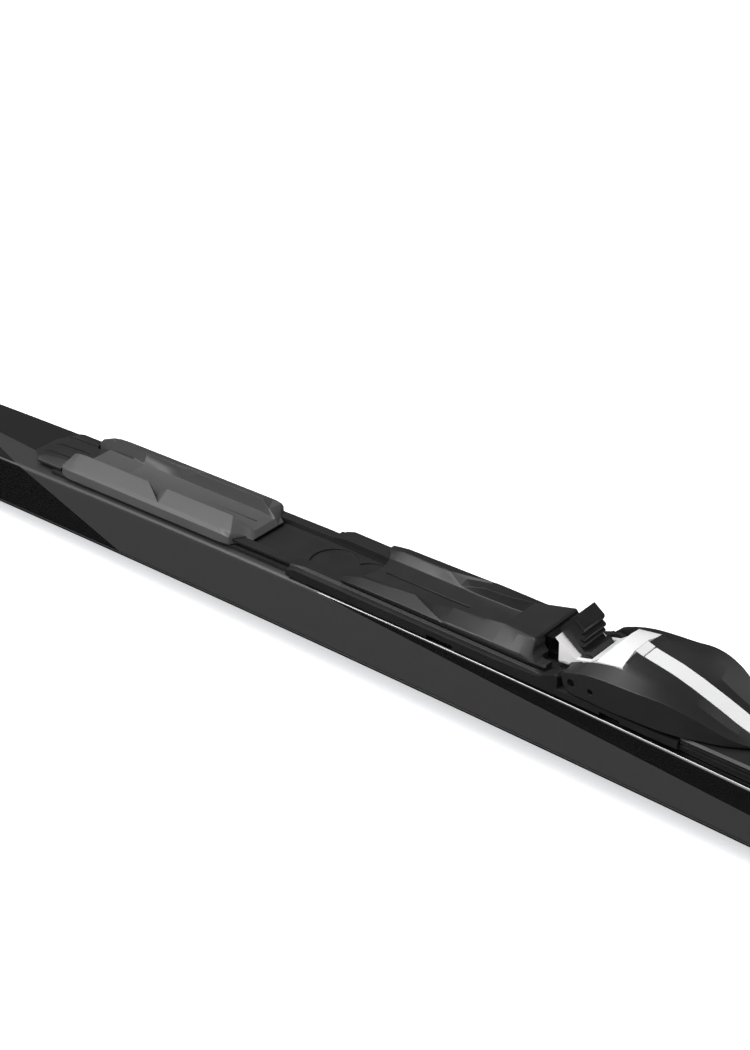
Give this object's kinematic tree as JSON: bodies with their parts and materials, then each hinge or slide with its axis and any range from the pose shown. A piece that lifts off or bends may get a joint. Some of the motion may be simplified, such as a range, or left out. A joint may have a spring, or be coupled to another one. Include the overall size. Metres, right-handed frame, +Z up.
{
  "type": "cross country ski",
  "caption": "Narrow cambered cross country ski with a sliding toe binding, its lever and flexor, and a sliding heel plate on one railed mounting plate.",
  "frame": {"origin": "on the floor under the middle of the ski's length and width", "axes": "+X to the ski's tip, +Y to the skier's left, +Z up"},
  "size_m": [2.01, 0.049, 0.076],
  "materials": {
    "base": "sintered, ground",
    "carbon": "pressed carbon laminate",
    "core": "sanded",
    "cap": "gloss black with satin graphite wedge",
    "guard": "moulded, satin",
    "rail_plastic": "moulded, satin",
    "binding_plastic": "moulded, satin",
    "heel_plastic": "moulded, satin",
    "white_plastic": "moulded, semi-gloss",
    "rubber": "moulded, fine grain",
    "steel": "bright zinc",
    "black_steel": "blackened, satin"
  },
  "bodies": {
    "ski": {"base_sheet": "base", "lower_laminate": "carbon", "core": "core", "binding_stiffener": "carbon", "upper_laminate": "carbon", "cap_shell": "cap", "tip_guard": "guard", "tail_guard": "guard", "mounting_plate": "rail_plastic", "plate_screw_1": "steel", "plate_screw_2": "steel", "plate_screw_3": "steel", "plate_screw_4": "steel"},
    "heel_unit": {"heel_plate": "heel_plastic", "heel_catch_pin": "steel", "heel_catch_spring": "steel"},
    "heel_latch": {"heel_catch": "binding_plastic"},
    "toe_unit": {"toe_base": "rail_plastic", "foot_plate": "binding_plastic", "foot_screw_1": "steel", "foot_screw_2": "steel", "flexor_frame": "white_plastic", "flexor": "rubber", "lever_pin_left": "black_steel", "lever_pin_right": "black_steel", "shift_grip": "rail_plastic", "shift_latch_pin": "steel", "hook_spring": "steel"},
    "lever": {"lever": "binding_plastic", "lever_inlay": "white_plastic", "link_pin_left": "black_steel", "link_pin_right": "black_steel"},
    "straps": {"hook_link_left": "steel", "hook_link_right": "steel"},
    "jaw": {"toe_hook": "black_steel", "hook_cross_pin": "steel"},
    "shift_catch": {"shift_latch": "binding_plastic"}
  },
  "joints": [
    {"name": "heel_slide", "type": "slide", "parent": "ski", "child": "heel_unit", "axis": [0.9997, 0, 0.0236], "range_m": [-0.012, 0.014]},
    {"name": "heel_catch_lift", "type": "hinge", "parent": "heel_unit", "child": "heel_latch", "pos_m": [-0.3, 0, 0.04551], "axis": [0, 1, 0], "range_deg": [0, 6], "stiffness_Nm_per_rad": 0.2, "springref_deg": -5.73, "deforming": ["heel_catch_spring"]},
    {"name": "toe_slide", "type": "slide", "parent": "ski", "child": "toe_unit", "axis": [1, 0, 0], "range_m": [-0.01, 0.012]},
    {"name": "lever_swing", "type": "hinge", "parent": "toe_unit", "child": "lever", "pos_m": [-0.0014, 0, 0.0547], "axis": [0, -1, 0], "range_deg": [0, 75]},
    {"name": "link_turn", "type": "hinge", "parent": "lever", "child": "straps", "pos_m": [0.0084, 0, 0.0545], "axis": [0, -1, 0], "range_deg": [-48.5, 0]},
    {"name": "hook_slide", "type": "slide", "parent": "toe_unit", "child": "jaw", "axis": [-1, 0, 0], "range_m": [0, 0.0041], "deforming": ["hook_spring"]},
    {"name": "shift_latch_lift", "type": "hinge", "parent": "toe_unit", "child": "shift_catch", "pos_m": [0.095, 0, 0.0492], "axis": [0, -1, 0], "range_deg": [0, 10], "stiffness_Nm_per_rad": 0.05, "springref_deg": -8.59}
  ],
  "couplings": [
    {"joint": "hook_slide", "follows": "lever_swing", "m_per_rad": 0.00303},
    {"joint": "link_turn", "follows": "lever_swing", "ratio": -0.637}
  ]
}
